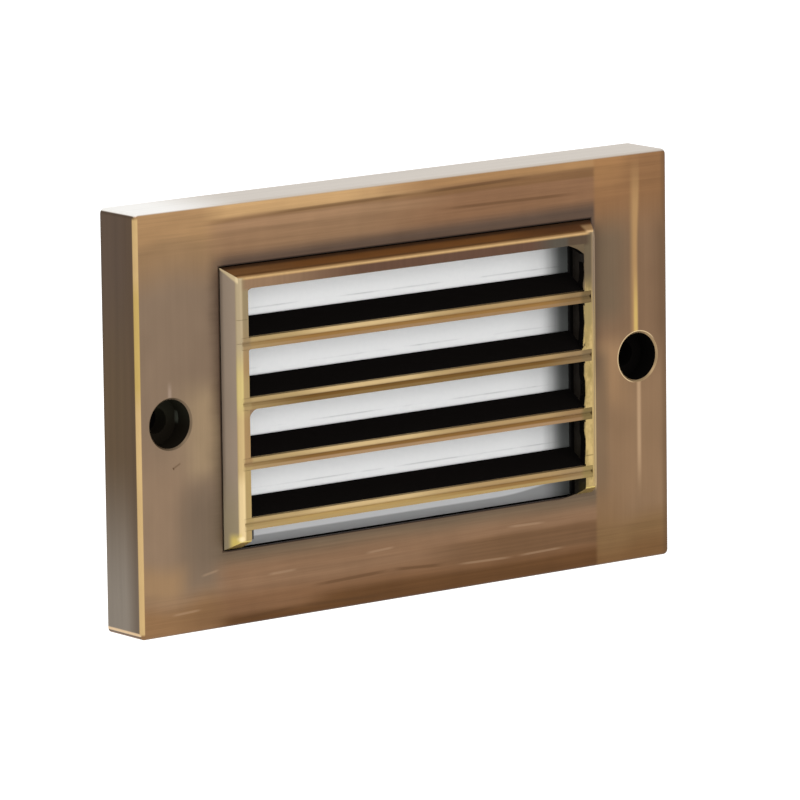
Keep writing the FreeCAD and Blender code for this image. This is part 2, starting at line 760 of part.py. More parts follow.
def make_driver_board():
    body = new_body("driver_board")

    def board(sketch):
        draw_box(sketch, "driver_left", "driver_left + driver_width",
                 f"-{DRIVER_HALF}", DRIVER_HALF)
        circles(DRIVER_POSTS, "driver_shank + thread_gap")(sketch)
    pad_inward(body, DRIVER_FRONT, DRIVER_BACK, board)
    return body


def on_board(across, up):
    """A place on the driver board, as shares of its width and height from its middle."""
    return (f"(driver_left + driver_width * {0.5 + across})", f"(2 * {DRIVER_HALF} * {up})")


def make_driver_choke():
    """Drum core: a round winding between two square cheeks."""
    body = new_body("driver_choke")
    place = [on_board(0.06, -0.26)]
    top = f"({DRIVER_FRONT} - choke_height)"
    pad_inward(body, top, DRIVER_FRONT, circles(place, "choke_core"))
    pad_inward(body, top, f"({top} + choke_cheek)", squares(place, "choke_half"))
    pad_inward(body, f"({DRIVER_FRONT} - choke_cheek)", DRIVER_FRONT, squares(place, "choke_half"))
    return body


def make_driver_capacitor():
    """Upright can with a bevelled top edge."""
    body = new_body("driver_capacitor")
    top = f"({DRIVER_FRONT} - capacitor_height)"
    can = pad_inward(body, top, DRIVER_FRONT, circles([on_board(0.06, 0.27)], "capacitor_radius"))
    edge_feature(body, "Chamfer", "capacitor_bevel", can, [face_at(can, value(top))])
    return body


def make_board_box(label, place, width, height, thickness):
    """A moulded package seated on the driver board."""
    body = new_body(label)
    across, up = place

    def package(sketch):
        draw_box(sketch, f"{across} - {width} / 2", f"{across} + {width} / 2",
                 f"{up} - {height} / 2", f"{up} + {height} / 2")
    pad_inward(body, f"({DRIVER_FRONT} - {thickness})", DRIVER_FRONT, package)
    return body


TERMINAL_PLACE = ("(driver_left + terminal_width / 2 + 0.4)", "0")
TERMINAL_POLES = [(TERMINAL_PLACE[0], f"{side} * terminal_height / 4") for side in (-1, 1)]
TERMINAL_TOP = f"({DRIVER_FRONT} - terminal_thickness)"
WELL_FLOOR = f"({TERMINAL_TOP} + terminal_thickness / 3)"


def make_terminal_block():
    """Two-pole block: screw wells on top and square wire mouths in its left side."""
    body = make_board_box("terminal_block", TERMINAL_PLACE, "terminal_width", "terminal_height",
                          "terminal_thickness")
    cut_inward(body, TERMINAL_TOP, WELL_FLOOR, circles(TERMINAL_POLES, "terminal_well"))
    sketch = sketch_on(body, "YZ_Plane", f"({TERMINAL_PLACE[0]} - terminal_width / 2)")
    squares([(f"({DRIVER_FRONT} - terminal_thickness / 3)", up) for across, up in TERMINAL_POLES],
            "terminal_mouth")(sketch)
    extrude(body, sketch, "Pocket", "terminal_width / 2", backwards=True)
    return body


def make_terminal_screws():
    """Slotted clamp screws at the bottom of the wells."""
    body = new_body("terminal_screws")
    top = f"({WELL_FLOOR} - terminal_screw)"
    pad_inward(body, top, WELL_FLOOR, circles(TERMINAL_POLES, "terminal_screw"))
    cut_slots(body, TERMINAL_POLES, "terminal_screw", top, f"({WELL_FLOOR} - terminal_screw / 2)")
    return body


# ---------------------------------------------------------------- the cable gland

HEX_FRONT = "(box_depth + washer_thickness)"
HEX_BACK = f"({HEX_FRONT} + gland_hex_height)"


def make_gland_body():
    """Threaded stem through the housing's floor, a hexagon outside it and a neck."""
    body = new_body("gland_body")
    pad_inward(body, HEX_FRONT, HEX_BACK,
               lambda sketch: draw_hexagon(sketch, "gland_across", "0", "gland_flats"))
    pad_inward(body, f"({FLOOR} - gland_inside)", HEX_FRONT, circles(GLAND_PLACE, "gland_thread"))
    pad_inward(body, HEX_BACK, f"({HEX_BACK} + gland_neck_length)", circles(GLAND_PLACE, "gland_neck"))
    cut_inward(body, f"({FLOOR} - gland_inside)", f"({HEX_BACK} + gland_neck_length)",
               circles(GLAND_PLACE, "gland_bore"))
    return body


def make_gland_washer():
    body = new_body("gland_washer")

    def ring(sketch):
        circles(GLAND_PLACE, "gland_thread + gland_hole_gap + washer_width")(sketch)
        circles(GLAND_PLACE, "gland_thread")(sketch)
    pad_inward(body, "box_depth", HEX_FRONT, ring)
    return body


def make_gland_locknut():
    body = new_body("gland_locknut")

    def ring(sketch):
        draw_hexagon(sketch, "gland_across", "0", "locknut_flats")
        circles(GLAND_PLACE, "gland_thread")(sketch)
    pad_inward(body, f"({FLOOR} - locknut_height)", FLOOR, ring)
    return body


def make_gland_seal():
    """Rubber sleeve in the neck that closes on the cable."""
    body = new_body("gland_seal")

    def ring(sketch):
        circles(GLAND_PLACE, "gland_bore")(sketch)
        circles(GLAND_PLACE, "cable_hole")(sketch)
    end = f"({HEX_BACK} + gland_neck_length)"
    pad_inward(body, f"({end} - seal_length)", end, ring)
    return body


def make_gland_nut():
    """Dome nut over the neck: a hexagon with a round nose and the cable's hole."""
    body = new_body("gland_nut")
    nose = f"({HEX_BACK} + dome_length)"
    pad_inward(body, f"({HEX_BACK} + dome_gap)", f"({nose} - dome_length / 3)",
               lambda sketch: draw_hexagon(sketch, "gland_across", "0", "dome_flats"))
    pad_inward(body, f"({nose} - dome_length / 3)", nose, circles(GLAND_PLACE, "dome_flats / 2 - 0.5"))
    cut_inward(body, f"({HEX_BACK} + dome_gap)", f"({HEX_BACK} + gland_neck_length)",
               circles(GLAND_PLACE, "gland_neck + dome_gap"))
    cut_inward(body, f"({HEX_BACK} + gland_neck_length)", nose, circles(GLAND_PLACE, "dome_hole"))
    return body


# ---------------------------------------------------------------- build, check and write

nodes = [make_face_plate(), make_louver_frame()]
nodes += [make_louver_blade(number) for number in range(BLADE_COUNT)]
nodes += [
    make_lens(),
    make_lens_gasket(),
    make_lens_retainer(),
    make_screws("retainer_screws", RETAINER_SCREWS, RETAINER_BACK, "retainer_head",
                "retainer_head_height", "retainer_shank", "retainer_shank_length", True),
    make_rear_housing(),
    make_housing_seal(),
    make_wall_gasket(),
    make_reflector_tray(),
    make_led_board(),
    make_led_emitters(),
    make_heat_spreader(),
    make_screws("board_screws", ENGINE_POSTS, TRAY_SEAT, "board_head",
                "board_head_height", "board_shank", "board_shank_length", False),
    make_driver_board(),
    make_driver_choke(),
    make_driver_capacitor(),
    make_board_box("driver_rectifier", on_board(0.32, -0.10), "rectifier_width", "rectifier_height",
                   "rectifier_thickness"),
    make_board_box("driver_chip", on_board(0.30, 0.16), "chip_width", "chip_height",
                   "chip_thickness"),
    make_screws("driver_screws", DRIVER_POSTS, DRIVER_FRONT, "driver_head",
                "driver_head_height", "driver_shank", "driver_shank_length", False),
    make_terminal_block(),
    make_terminal_screws(),
    make_gland_body(),
    make_gland_washer(),
    make_gland_locknut(),
    make_gland_seal(),
    make_gland_nut(),
]
doc.recompute()

for item in doc.Objects:
    if "Invalid" in item.State or "Error" in item.State:
        raise RuntimeError(f"{item.Label} failed: {item.State}")
for node in nodes:
    if node.Shape.isNull() or not node.Shape.isValid() or not node.Shape.Solids:
        raise RuntimeError(f"{node.Label} has no valid solid")

os.makedirs("parts", exist_ok=True)
for node in nodes:
    node.Shape.exportStep(f"parts/{node.Label}.step")
    print(f"{node.Label}: {len(node.Shape.Solids)} solid(s), {node.Shape.Volume:.1f} mm3")
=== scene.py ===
"""Looks of the louvred step light: its finishes, small worn details, light and camera.

Lengths are in millimetres in the part's own frame: X to the right seen from the front, Z up
and Y into the wall. MM turns them into Blender's metres. The floor and the lamps are placed
in metres.
"""
import json
import math

import bpy
from mathutils import Matrix, Vector


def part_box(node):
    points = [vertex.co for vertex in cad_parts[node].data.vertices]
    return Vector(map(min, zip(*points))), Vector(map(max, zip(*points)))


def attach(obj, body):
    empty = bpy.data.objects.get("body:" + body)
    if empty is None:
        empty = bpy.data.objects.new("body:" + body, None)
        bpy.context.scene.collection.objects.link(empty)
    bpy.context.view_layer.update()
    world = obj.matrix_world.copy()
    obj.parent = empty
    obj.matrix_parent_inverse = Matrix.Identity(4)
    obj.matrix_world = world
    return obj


MM = 0.001

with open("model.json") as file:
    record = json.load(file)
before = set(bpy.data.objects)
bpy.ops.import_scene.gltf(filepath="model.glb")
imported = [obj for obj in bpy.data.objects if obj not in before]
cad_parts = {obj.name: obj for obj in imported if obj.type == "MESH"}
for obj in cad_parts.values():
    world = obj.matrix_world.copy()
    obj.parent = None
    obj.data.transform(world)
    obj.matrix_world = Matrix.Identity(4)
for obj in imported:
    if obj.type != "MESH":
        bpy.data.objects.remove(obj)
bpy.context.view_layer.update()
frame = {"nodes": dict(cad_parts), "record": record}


# ---------------------------------------------------------------- places taken from the frame

def corners(node):
    """Lowest and highest corners of a node, in millimetres."""
    low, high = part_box(node)
    return low / MM, high / MM


PLATE_LOW, PLATE_HIGH = corners("face_plate")
PLATE_FRONT = PLATE_LOW.y
PLATE_X = PLATE_HIGH.x
PLATE_Z = PLATE_HIGH.z
FRAME_FRONT = corners("louver_frame")[0].y
LENS_FRONT = corners("lens")[0].y
BLADE_NUMBERS = (1, 2, 3, 4)
BLADE_FEET = [corners(f"louver_blade_{number}")[0].z for number in BLADE_NUMBERS]

# Sizes of the same pieces that their boxes don't give. The window is the cut in the plate,
# the opening is the one inside the frame's bars, and BLADE_RISE is how far a blade climbs
# from its front edge to its back.
SCREW_X = 53.2
SCREW_BORE = 2.3
COUNTERBORE = 4.4
COUNTERBORE_DEPTH = 4.6
BORE_BEVEL = 0.3
WINDOW_X = 42.0
WINDOW_TOP = 26.7
WINDOW_FOOT = -24.05
OPENING_X = 38.15
OPENING_TOP = 22.95
FRAME_DRAFT = 1.6
BLADE_EDGE = 2.1
BLADE_RISE = 3.07


# ---------------------------------------------------------------- colour and node tools

def srgb(red, green, blue):
    """A display colour, 0 to 255, as the linear colour that a shader takes."""
    def linear(level):
        level /= 255
        return level / 12.92 if level <= 0.04045 else ((level + 0.055) / 1.055) ** 2.4
    return (linear(red), linear(green), linear(blue), 1.0)


class Finish:
    """A material under construction. Its methods add nodes and return their outputs, and
    take numbers, colours or other outputs. x, y and z are the place on the surface in
    millimetres, and nx, ny and nz the way that the surface faces. A mask runs from 0 to 1."""

    def __init__(self, name):
        self.material = bpy.data.materials.new(name)
        self.material.use_nodes = True
        self.tree = self.material.node_tree
        self.shader = self.tree.nodes["Principled BSDF"]
        place = self.tree.nodes.new("ShaderNodeTexCoord")
        self.point = self.scaled(place.outputs["Object"], (1 / MM,) * 3)
        self.x, self.y, self.z = self.split(self.point)
        self.nx, self.ny, self.nz = self.split(place.outputs["Normal"])
        self.across = self.absolute(self.x)

    def put(self, socket, item):
        if isinstance(item, bpy.types.NodeSocket):
            self.tree.links.new(item, socket)
        else:
            socket.default_value = item

    def set(self, **sockets):
        """Fills sockets of the shader, named with underscores, and returns the material."""
        for name, item in sockets.items():
            self.put(self.shader.inputs[name.replace("_", " ")], item)
        return self.material

    def split(self, vector):
        node = self.tree.nodes.new("ShaderNodeSeparateXYZ")
        self.put(node.inputs[0], vector)
        return node.outputs

    def scaled(self, vector, factors):
        node = self.tree.nodes.new("ShaderNodeVectorMath")
        node.operation = "MULTIPLY"
        self.put(node.inputs[0], vector)
        self.put(node.inputs[1], factors)
        return node.outputs[0]

    def math(self, operation, *items):
        node = self.tree.nodes.new("ShaderNodeMath")
        node.operation = operation
        for socket, item in zip(node.inputs, items):
            self.put(socket, item)
        return node.outputs[0]

    def plus(self, first, second):
        return self.math("ADD", first, second)

    def minus(self, first, second):
        return self.math("SUBTRACT", first, second)

    def linear(self, value, factor, start):
        """A start plus a value times a factor."""
        return self.math("MULTIPLY_ADD", value, factor, start)

    def absolute(self, value):
        return self.math("ABSOLUTE", value)

    def square(self, value):
        return self.math("POWER", value, 2.0)

    def times(self, first, *others):
        """The product. Of masks it is 1 only where each of them is 1."""
        for other in others:
            first = self.math("MULTIPLY", first, other)
        return first

    def most(self, first, second):
        """The larger. Of masks it is 1 where either of them is 1."""
        return self.math("MAXIMUM", first, second)

    def rise(self, value, low, high):
        """0 below low, 1 above high, smooth between. high may be the lower number."""
        node = self.tree.nodes.new("ShaderNodeMapRange")
        node.interpolation_type = "SMOOTHSTEP"
        for name, item in (("Value", value), ("From Min", low), ("From Max", high)):
            self.put(node.inputs[name], item)
        return node.outputs[0]

    def band(self, value, low, high, soft):
        """1 between two levels, and 0 further than soft outside them."""
        return self.times(self.rise(value, low - soft, low), self.rise(value, high + soft, high))

    def stripe(self, value, middle, reach, core):
        """1 within core of a middle, and 0 further than reach from it."""
        return self.rise(self.absolute(self.minus(value, middle)), reach, core)

    def distance(self, off_x, off_z):
        return self.math("SQRT", self.plus(self.square(off_x), self.square(off_z)))

    def from_screw(self):
        """The distance from the nearer screw's axis."""
        return self.distance(self.minus(self.across, SCREW_X), self.z)

    def scratch(self, start, end, width):
        """1 along a straight scratch between two places (X, Z) on the front."""
        run = Vector(end) - Vector(start)
        length = run.length
        along_x, along_z = run / length
        from_x = self.minus(self.x, start[0])
        from_z = self.minus(self.z, start[1])
        along = self.plus(self.times(from_x, along_x), self.times(from_z, along_z))
        off = self.minus(self.times(from_z, along_x), self.times(from_x, along_z))
        return self.times(self.rise(self.absolute(off), width, width * 0.3),
                          self.band(along, length * 0.2, length * 0.7, length * 0.3))

    def noise(self, stretch, detail=3.0, roughness=0.55, offset=0.0):
        """Noise, 0 to 1, with so many changes per millimetre along each axis."""
        node = self.tree.nodes.new("ShaderNodeTexNoise")
        node.noise_dimensions = "4D"
        self.put(node.inputs["Vector"], self.scaled(self.point, stretch))
        node.inputs["W"].default_value = offset
        node.inputs["Scale"].default_value = 1.0
        node.inputs["Detail"].default_value = detail
        node.inputs["Roughness"].default_value = roughness
        return node.outputs["Fac"]

    def wander(self, reach, stretch, **looks):
        """Noise that runs from -reach to reach."""
        return self.linear(self.noise(stretch, **looks), 2 * reach, -reach)

    def blend(self, first, second, share):
        """A share of one number and the rest of another."""
        return self.plus(self.times(first, share), self.times(second, 1 - share))

    def mix(self, mask, below, above):
        """One colour over another, through a mask. The node keeps its inputs for colours
        behind those for numbers and vectors."""
        node = self.tree.nodes.new("ShaderNodeMix")
        node.data_type = "RGBA"
        factor, first, second = (node.inputs[number] for number in (0, 6, 7))
        self.put(factor, mask)
        self.put(first, below)
        self.put(second, above)
        return node.outputs[2]

    def layer(self, colour, steps):
        """Paints colours over a colour, each through its mask."""
        for mask, above in steps:
            colour = self.mix(mask, colour, above)
        return colour

    def tone(self, colour, factor):
        """A colour made lighter or darker by a factor."""
        node = self.tree.nodes.new("ShaderNodeVectorMath")
        node.operation = "SCALE"
        self.put(node.inputs[0], colour if isinstance(colour, bpy.types.NodeSocket) else colour[:3])
        self.put(node.inputs["Scale"], factor)
        return node.outputs[0]

    def grained(self, colour, pattern, spread, start):
        """A colour times start where a pattern is 0, and times start + spread where it is 1."""
        return self.tone(colour, self.linear(pattern, spread, start))

    def bump(self, height, depth, strength=1.0):
        """Relief of so many millimetres, as the shader's normal."""
        node = self.tree.nodes.new("ShaderNodeBump")
        node.inputs["Strength"].default_value = strength
        node.inputs["Distance"].default_value = depth * MM
        self.put(node.inputs["Height"], height)
        self.put(self.shader.inputs["Normal"], node.outputs[0])


BLACK = srgb(14, 12, 11)


def blackened(f, colour, soot, roughness):
    """Brass that a black, dull coat covers where soot is 1."""
    return f.set(Base_Color=colour, Metallic=f.rise(soot, 1.0, 0.0), Roughness=roughness,
                 Specular_IOR_Level=f.rise(soot, 1.0, 0.7))


# ---------------------------------------------------------------- the plate's brass

# The end columns begin beside the window, at COLUMN_X. Streaks run up and down from the
# screw holes. The other marks go from one place (X, Z) on the front to another.
COLUMN_X = 43.1
RIGHT_STREAK_X = 52.7
LEFT_STREAK_X = -53.3
PALE_SCRATCHES = [((-53.4, -34.4), (-46.8, -34.1)), ((-32.3, -29.7), (-25.5, -29.6)),
                  ((-47.0, -28.1), (-42.9, -27.4)), ((-10.2, -28.7), (-3.4, -28.4)),
                  ((22.4, -28.1), (31.5, -28.3)), ((11.0, -33.5), (24.0, -33.8)),
                  ((25.0, -33.7), (36.0, -33.5))]
DARK_SMEARS = [((-41.0, -37.1), (-25.0, -36.4)), ((-25.0, -36.4), (-4.0, -36.9)),
               ((-22.0, -33.0), (-4.0, -32.5)), ((-4.0, -32.5), (8.0, -33.2)),
               ((-30.0, 35.3), (4.0, 35.6)), ((4.0, 35.6), (30.0, 36.0)),
               ((8.0, 32.1), (42.0, 31.8))]
NICK_TAIL = ((-52.8, -8.0), (-51.0, -7.1))
NICK_HEAD = ((-52.9, -8.1), (-52.6, -7.9))


def left_column(f, x, z):
    inner = f.rise(x, -55.5, -45.0)
    return f.layer(srgb(120, 101, 83), [
        (f.times(f.band(z, -7.0, 3.0, 6.0), inner), srgb(142, 121, 95)),
        (f.times(f.rise(z, 3.0, -12.0), f.rise(inner, 1.0, 0.0)), srgb(130, 108, 87)),
        (f.rise(z, 21.0, 32.0), srgb(136, 108, 78)),
        (f.band(z, 34.5, 39.0, 3.0), srgb(154, 121, 85)),
        (f.times(inner, f.band(z, -24.0, -17.0, 9.0)), srgb(107, 91, 75)),
        (f.times(f.band(z, -28.8, -27.6, 4.0), f.rise(inner, 0.9, 0.0)), srgb(142, 114, 84)),
        (f.rise(z, -28.5, -35.0), srgb(131, 99, 68)),
        (f.times(inner, f.rise(z, -30.0, -36.5)), srgb(118, 88, 60)),
    ])


def right_column(f, x, z):
    inner = f.rise(x, 53.0, 47.0)
    beside_window = f.times(f.rise(f.x, 47.5, 44.5), f.band(f.z, -24.0, 0.0, 4.0))
    return f.layer(srgb(126, 100, 75), [
        (f.rise(z, -10.0, 8.0), srgb(116, 91, 69)),
        (f.times(inner, f.band(z, 11.0, 25.0, 7.0)), srgb(102, 85, 67)),
        (f.times(inner, f.band(z, -6.0, 1.0, 5.0)), srgb(138, 109, 80)),
        (beside_window, srgb(115, 93, 71)),
        (f.rise(z, 21.5, 31.5), srgb(126, 92, 62)),
        (f.times(inner, f.rise(z, 30.0, 37.0)), srgb(142, 105, 69)),
        (f.times(inner, f.rise(z, -20.0, -30.0)), srgb(121, 94, 67)),
        (f.rise(z, -27.0, -33.0), srgb(117, 90, 60)),
        (f.rise(z, -32.5, -38.0), srgb(107, 78, 49)),
    ])


def top_strip(f, z):
    left = f.rise(f.x, 14.0, -14.0)
    right = f.rise(f.x, -14.0, 14.0)
    drift = f.linear(f.x, -0.012, f.z)
    return f.layer(srgb(130, 101, 75), [
        (right, srgb(123, 91, 66)),
        (f.times(left, f.band(z, 33.4, 34.2, 0.9)), srgb(142, 111, 83)),
        (f.times(left, f.rise(z, 34.6, 36.0)), srgb(174, 140, 98)),
        (f.times(right, f.rise(z, 35.5, 36.8)), srgb(149, 114, 77)),
        (f.times(right, f.band(z, 34.9, 35.4, 0.6), 0.6), srgb(112, 82, 52)),
        (f.times(f.band(drift, 35.4, 35.5, 0.7), 0.4), srgb(112, 82, 52)),
        (f.rise(drift, 30.6, 27.8), srgb(84, 68, 57)),
    ])


def bottom_strip(f, z):
    right = f.rise(f.x, -5.0, 20.0)
    return f.layer(srgb(126, 97, 73), [
        (f.rise(z, -28.6, -24.4), srgb(101, 86, 69)),
        (f.rise(z, -30.5, -34.0), srgb(116, 85, 60)),
        (f.times(right, f.band(z, -33.0, -30.0, 1.4)), srgb(104, 77, 54)),
        (f.times(f.rise(f.x, -28.0, -16.0), f.rise(z, -33.2, -35.6)), srgb(92, 63, 38)),
        (f.rise(z, -35.2, -37.2), srgb(88, 60, 36)),
    ])


def brushed_front(f):
    """The end columns are brushed upright, and the strips above and below the window are
    brushed level. The left column runs into its strips without a clear border."""
    left_border = f.minus(f.wander(2.5, (0.1, 0.1, 0.1), offset=5.0), COLUMN_X)
    left = f.rise(f.x, f.plus(left_border, 3.2), f.minus(left_border, 3.2))
    right = f.rise(f.x, COLUMN_X - 0.5, COLUMN_X + 0.5)
    column = f.most(left, right)
    stray_z = f.wander(4.0, (0.07, 0.1, 0.04), detail=0.0, offset=17.0)
    strip_z = f.linear(stray_z, 0.1, f.z)
    column_z = f.plus(f.z, stray_z)
    column_x = f.plus(f.x, f.wander(2.0, (0.12, 0.1, 0.02), detail=0.0, offset=14.0))
    strips = f.mix(f.rise(f.z, -2.0, 2.0), bottom_strip(f, strip_z), top_strip(f, strip_z))
    columns = f.mix(f.rise(f.x, -2.0, 2.0), left_column(f, column_x, column_z),
                    right_column(f, column_x, column_z))
    upright = f.blend(f.noise((0.5, 0.2, 0.016), detail=2.0),
                      f.noise((2.4, 0.2, 0.02), offset=4.0), 0.65)
    level = f.blend(f.noise((0.03, 0.2, 0.9), offset=7.0),
                    f.noise((0.05, 0.2, 2.8), offset=9.0), 0.55)
    upright_share = f.times(column, f.rise(f.absolute(column_z), 32.0, 28.5))
    grain = f.mix(upright_share, f.linear(level, 0.74, 0.63), f.linear(upright, 0.3, 0.85))
    cloud = f.noise((0.16, 0.16, 0.1), detail=2.0, offset=12.0)
    return f.grained(f.tone(f.mix(column, strips, columns), grain), cloud, 0.24, 0.84)


def screw_streaks(f, colour):
    """Paler streaks above and below the right screw hole, and a short one above the left."""
    off = f.minus(f.x, RIGHT_STREAK_X)
    above_hole = f.rise(f.z, 3.5, 5.0)
    spread = f.times(f.rise(f.z, 20.0, 34.0), 0.5)
    upper = f.times(f.rise(off, -1.6, -0.1), f.rise(off, f.plus(spread, 0.85), f.plus(spread, 0.1)),
                    above_hole, f.rise(f.z, 39.0, 27.0))
    core = f.times(f.stripe(off, 0.05, 0.7, 0.15), f.rise(f.z, 18.0, 7.0), above_hole)
    lower = f.times(f.stripe(off, 0.65, 0.75, 0.1), f.rise(f.z, -3.5, -5.0),
                    f.rise(f.z, -27.0, -16.0))
    left = f.times(f.stripe(f.x, LEFT_STREAK_X, 0.6, 0.1), f.rise(f.z, 4.0, 5.0),
                   f.rise(f.z, 8.0, 5.5))
    return f.layer(colour, [
        (f.times(upper, 0.85), srgb(158, 125, 84)),
        (f.times(core, 0.85), srgb(184, 156, 92)),
        (f.times(lower, 0.85), srgb(162, 134, 104)),
        (f.times(left, 0.5), srgb(156, 137, 122)),
    ])


def right_edges(f, colour):
    """The plate is darker toward its right edge. A rubbed strip stands in a soft painted shadow of
    the right bar along the window's right side."""
    # Darker toward the plate's right edge.
    dull = f.most(f.rise(f.x, 58.4, 59.6),
                  f.times(f.rise(f.x, 56.0, 59.5), f.rise(f.z, -4.0, 6.0), f.rise(f.z, 28.0, 22.0)))
    # A painted shadow that the right bar casts on the plate.
    shade = f.times(f.band(f.x, WINDOW_X, WINDOW_X + 1.2, 2.2), f.rise(f.z, -8.0, 1.0),
                    f.rise(f.z, 27.0, 24.0))
    rubbed = f.times(f.band(f.x, WINDOW_X + 0.4, WINDOW_X + 1.05, 0.17),
                     f.rise(f.z, WINDOW_FOOT, WINDOW_FOOT + 1.5), f.rise(f.z, 25.5, 23.0))
    rubbed_tone = f.layer(srgb(174, 151, 111), [
        (f.rise(f.z, -10.0, 4.0), srgb(148, 127, 92)),
        (f.rise(f.z, 11.0, 15.0), srgb(136, 117, 96)),
    ])
    return f.layer(colour, [
        (f.times(dull, 0.45), srgb(84, 64, 46)),
        (f.times(shade, 0.45), srgb(64, 50, 40)),
        (f.times(rubbed, 0.95), rubbed_tone),
    ])


def scratches(f, colour):
    """Pale scratches, dark smears, and a nick below the left screw hole."""
    for ends in PALE_SCRATCHES:
        colour = f.mix(f.times(f.scratch(*ends, 0.3), 0.25), colour, srgb(172, 144, 116))
    for ends in DARK_SMEARS:
        colour = f.mix(f.times(f.scratch(*ends, 0.42), 0.5), colour, srgb(78, 54, 34))
    nick = f.most(f.times(f.scratch(*NICK_TAIL, 0.26), 0.5), f.scratch(*NICK_HEAD, 0.32))
    return f.mix(f.times(nick, 0.85), colour, srgb(72, 50, 32))


def window_border(f, colour):
    """Darkens the plate along the window's edge, and less so at its left."""
    beside = f.minus(f.across, WINDOW_X + 0.2)
    above = f.most(f.minus(f.z, WINDOW_TOP + 0.2), f.minus(WINDOW_FOOT - 0.2, f.z))
    gap = f.most(beside, above)
    left = f.rise(f.x, 1.0 - WINDOW_X, -WINDOW_X)
    return f.layer(colour, [
        (f.times(f.rise(gap, 1.1, 0.0), f.linear(left, -0.25, 0.45)), srgb(84, 66, 54)),
        (f.rise(gap, 0.34, 0.12), f.mix(left, srgb(48, 38, 32), srgb(70, 56, 44))),
    ])


def bright_lip(f, colour, radius):
    """A bright lip round the left and the top of the right screw hole."""
    rim = COUNTERBORE + BORE_BEVEL
    lip = f.times(f.band(radius, rim + 0.02, rim + 0.1, 0.16), f.rise(f.x, 0.0, 1.0),
                  f.most(f.rise(f.x, SCREW_X - 0.5, SCREW_X - 2.5), f.rise(f.z, 2.6, 4.0)))
    return f.mix(f.times(lip, 0.8), colour, srgb(208, 184, 144))


def top_with_painted_reflection(f):
    """The upper side is painted near white, most at its left, as a reflection of the bright
    surround, so that it nearly runs into the background.
    """
    colour = f.mix(f.rise(f.x, -34.0, -54.0), srgb(204, 195, 184), srgb(244, 242, 238))
    return f.grained(colour, f.noise((0.03, 0.9, 0.9)), 0.16, 0.92)


def end_side_in_painted_shade(f):
    """The left and right sides, in a darker tone than the front as painted shade, with a painted
    highlight line and a painted dark rim of shade at their foot.
    """
    # The sides' darker tone is painted shade. It is lighter toward the foot.
    colour = f.layer(srgb(89, 70, 48), [
        (f.rise(f.z, 4.0, 30.0), srgb(84, 67, 53)),
        (f.rise(f.z, -4.0, -33.0), srgb(128, 118, 106)),
        (f.times(f.rise(f.y, -5.0, -9.5), 0.6), srgb(84, 64, 44)),
    ])
    return f.layer(f.grained(colour, f.noise((0.3, 0.6, 0.02)), 0.4, 0.72), [
        # A painted highlight line on the foot's round, and below it a painted dark rim of shade.
        (f.band(f.z, -37.25, -37.0, 0.25), srgb(206, 178, 142)),
        (f.rise(f.z, -37.3, -37.6), srgb(74, 54, 38)),
    ])


def edge_gold(f):
    """The left front edge, rubbed to the metal, is yellower in the upper half's middle."""
    gold = f.mix(f.noise((0.05, 0.05, 0.09), offset=3.0), srgb(172, 142, 98),
                 srgb(206, 176, 124))
    return f.mix(f.times(f.band(f.z, 8.0, 22.0, 6.0), 0.7), gold, srgb(176, 150, 80))


def recess_colour(f, radius):
    """Black, but olive in the left counterbore, with a glint near its floor."""
    left_bore = f.times(f.rise(radius, COUNTERBORE + 0.6, COUNTERBORE + 0.4),
                        f.rise(f.x, 0.0, -1.0))
    bore_floor = PLATE_FRONT + COUNTERBORE_DEPTH
    glint = f.times(f.rise(f.x, -49.15, -48.9), f.band(f.z, -0.2, 2.0, 0.8), left_bore,
                    f.band(f.y, bore_floor - 0.7, bore_floor - 0.1, 0.2))
    olive = f.mix(f.rise(f.z, -2.0, 2.5), srgb(30, 26, 20), srgb(42, 41, 32))
    return f.layer(BLACK, [(left_bore, olive), (glint, srgb(92, 95, 84))])


def plate_brass():
    """Relieved antique brass: gold on the left front edge, black in the recesses."""
    f = Finish("plate_brass")
    radius = f.from_screw()
    outer = f.minus(f.across, PLATE_X)
    upper = f.times(f.rise(f.nz, 0.3, 0.75), f.rise(f.z, PLATE_Z - 1.4, PLATE_Z - 1.1))
    lower = f.times(f.rise(f.nz, -0.5, -0.8), f.rise(f.z, 1.1 - PLATE_Z, 1.4 - PLATE_Z))
    ends = f.times(f.rise(f.absolute(f.nx), 0.75, 0.9), f.rise(outer, -1.4, -1.1))
    rim = f.band(radius, COUNTERBORE - 0.2, COUNTERBORE + BORE_BEVEL, 0.08)
    # The left hole's bevel is painted darker than the right's, as shade.
    bevel = f.mix(f.rise(f.x, 0.0, 1.0), srgb(112, 95, 76), srgb(150, 126, 94))
    left_edge = f.times(f.rise(outer, -0.85, -0.6),
                        f.rise(f.y, PLATE_FRONT + 0.8, PLATE_FRONT + 0.5),
                        f.rise(f.x, 0.0, -1.0), f.rise(f.z, -37.4, -36.8), f.rise(f.z, 37.6, 36.8))
    inside = f.times(f.rise(f.y, PLATE_FRONT + 0.3, PLATE_FRONT + 0.4), f.rise(outer, -0.8, -1.0),
                     f.rise(f.minus(f.absolute(f.z), PLATE_Z), -0.8, -1.0))
    front = scratches(f, right_edges(f, screw_streaks(f, brushed_front(f))))
    front = bright_lip(f, window_border(f, front), radius)
    colour = f.layer(front, [
        # The upper side: a painted reflection.
        (upper, top_with_painted_reflection(f)),
        (lower, srgb(96, 72, 48)),
        # The ends: painted shade, with a painted highlight line at their foot.
        (ends, end_side_in_painted_shade(f)),
        (rim, bevel),
        (left_edge, edge_gold(f)),
        (inside, recess_colour(f, radius)),
    ])
    f.bump(f.noise((2.0, 2.0, 0.05)), 0.01, 0.25)
    return blackened(f, colour, inside, 0.42)


# ---------------------------------------------------------------- the frame's and blades' brass

